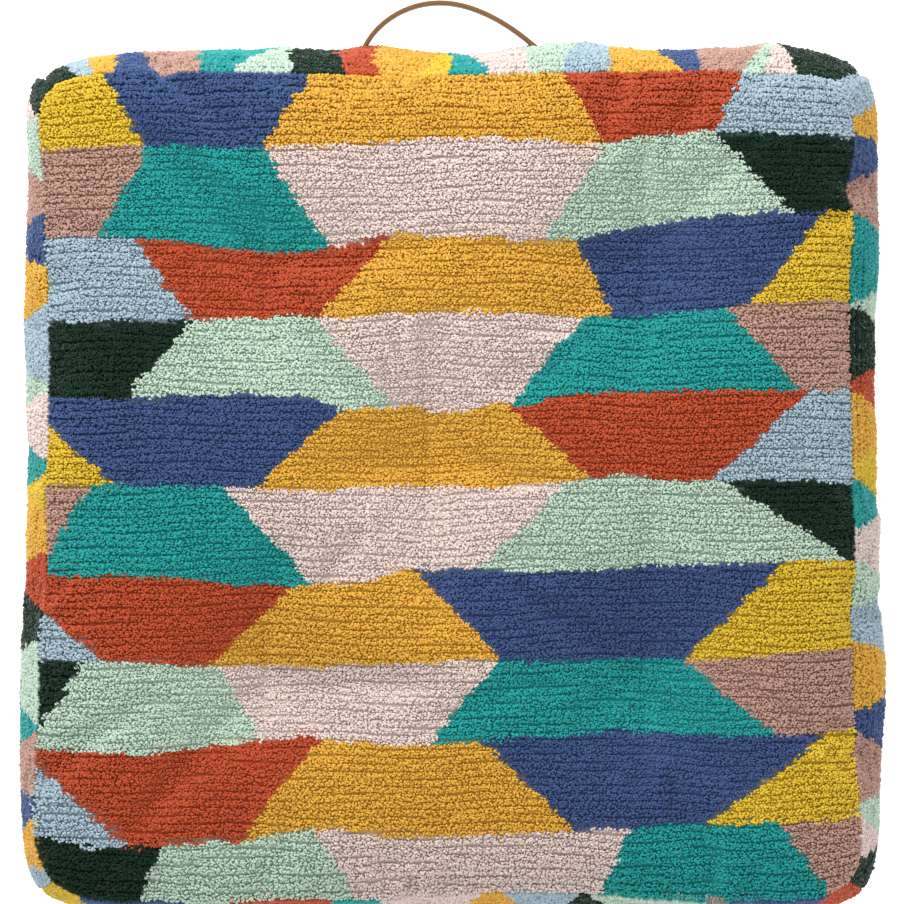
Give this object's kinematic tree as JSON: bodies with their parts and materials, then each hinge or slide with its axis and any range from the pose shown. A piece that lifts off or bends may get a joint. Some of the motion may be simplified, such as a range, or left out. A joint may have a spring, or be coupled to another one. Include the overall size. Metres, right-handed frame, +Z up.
{
  "type": "floor cushion",
  "caption": "Square boxed floor cushion with a cut pile top and sides, a canvas base, stitched ties that dimple the top, a leather strap handle and a zip.",
  "frame": {"origin": "middle of the flat underside, on the floor", "axes": "+Z up through the thickness, +Y towards the side with the strap handle, -Y towards the side with the zip, +X to the right when the handle is at the far side"},
  "size_m": [0.63, 0.6644, 0.164],
  "materials": {
    "pile_top": "cut cotton pile",
    "pile_side": "cut cotton pile",
    "canvas": "plain cotton canvas",
    "ticking": "plain cotton",
    "fibre": "loose fibre",
    "leather": "vegetable tanned, waxed",
    "webbing": "woven cotton",
    "twine": "waxed twine",
    "zip_cloth": "woven polyester tape",
    "nylon": "drawn nylon",
    "brass": "satin"
  },
  "bodies": {
    "cushion": {"top_panel": "pile_top", "handle_side_panel": "pile_side", "left_side_panel": "pile_side", "right_side_panel": "pile_side", "zip_side_upper_panel": "pile_side", "zip_side_lower_panel": "pile_side", "base_panel": "canvas", "inner_case_top": "ticking", "inner_case_base": "ticking", "inner_case_left": "ticking", "inner_case_right": "ticking", "inner_case_back": "ticking", "inner_case_front": "ticking", "filling": "fibre", "tie_front_left": "twine", "tie_front_right": "twine", "tie_middle": "twine", "tie_back_left": "twine", "tie_back_right": "twine", "handle_foot_left": "leather", "handle_foot_right": "leather", "handle_backing": "webbing", "handle_rivet_left_outer": "brass", "handle_rivet_left_inner": "brass", "handle_rivet_right_inner": "brass", "handle_rivet_right_outer": "brass", "handle_burr_left_outer": "brass", "handle_burr_left_inner": "brass", "handle_burr_right_inner": "brass", "handle_burr_right_outer": "brass", "zip_tape_upper": "zip_cloth", "zip_tape_lower": "zip_cloth", "zip_coil_upper": "nylon", "zip_coil_lower": "nylon", "zip_stop_open": "brass", "zip_stop_closed": "brass"},
    "handle": {"handle_strap": "leather"},
    "zip_slider": {"zip_slider": "brass"},
    "zip_pull": {"zip_pull": "brass"}
  },
  "joints": [
    {"name": "handle_lean", "type": "hinge", "parent": "cushion", "child": "handle", "pos_m": [0, 0.321, 0.075], "axis": [1, 0, 0], "range_deg": [-25, 25], "stiffness_Nm_per_rad": 0.15},
    {"name": "zip_slide", "type": "slide", "parent": "cushion", "child": "zip_slider", "axis": [-1, 0, 0], "range_m": [0, 0.42]},
    {"name": "zip_pull_turn", "type": "hinge", "parent": "zip_slider", "child": "zip_pull", "pos_m": [0.21, -0.31175, 0.075], "axis": [0, 0, 1], "range_deg": [0, 170]}
  ]
}
